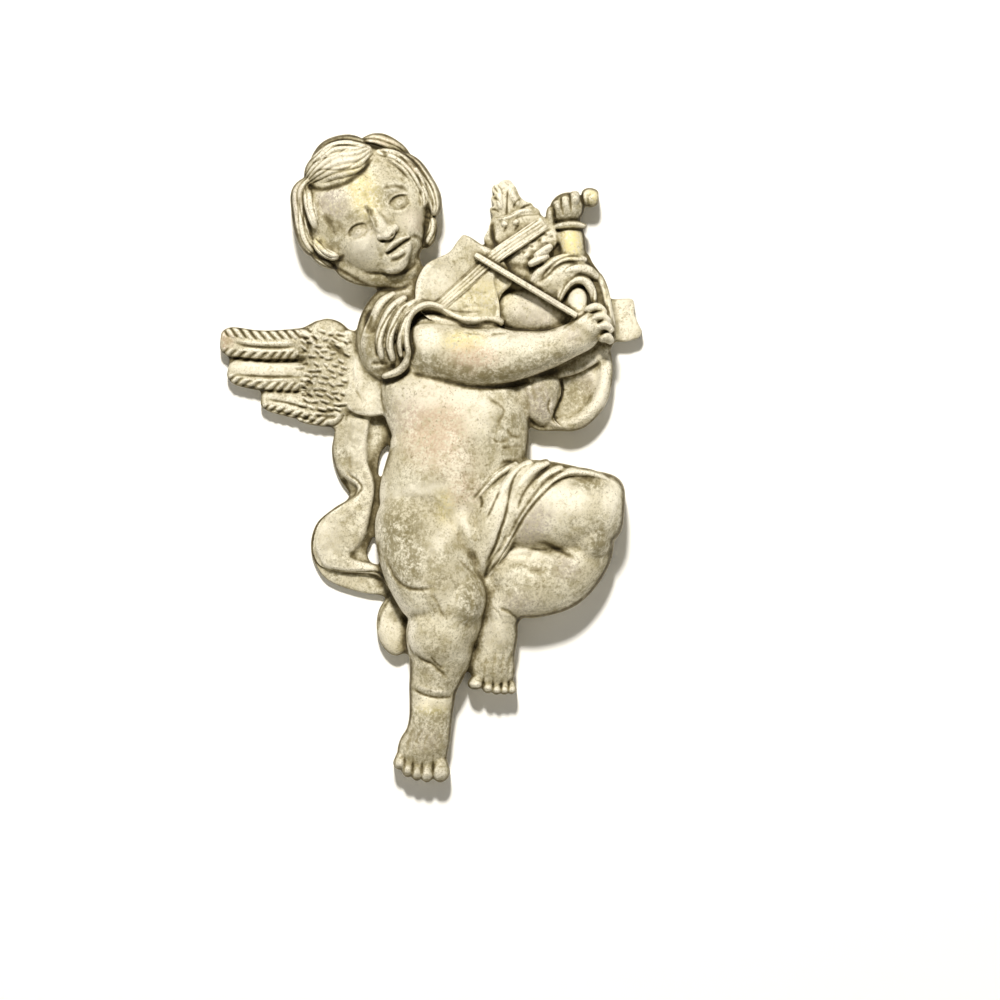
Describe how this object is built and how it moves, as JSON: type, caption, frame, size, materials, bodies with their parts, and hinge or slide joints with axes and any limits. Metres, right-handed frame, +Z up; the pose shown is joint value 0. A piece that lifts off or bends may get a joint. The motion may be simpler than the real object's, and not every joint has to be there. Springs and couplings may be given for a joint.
{
  "type": "cherub wall plaque",
  "caption": "Cast relief wall plaque of a winged cherub that plays a violin, with ribbons, lap drapery and a flat back.",
  "frame": {"origin": "hanging place on the flat back, over the centre of mass and behind the chest", "axes": "+Z up the wall, +X to the viewer's right, +Y into the wall, so the front of the relief faces -Y"},
  "size_m": [0.1986, 0.0398, 0.305],
  "materials": {
    "cast_composition": "chalk-filled casting resin in aged cream paint, with an olive-brown antique wash in the hollows and rubbed highlights"
  },
  "bodies": {
    "root": {"cherub_plaque": "cast_composition"}
  },
  "joints": []
}
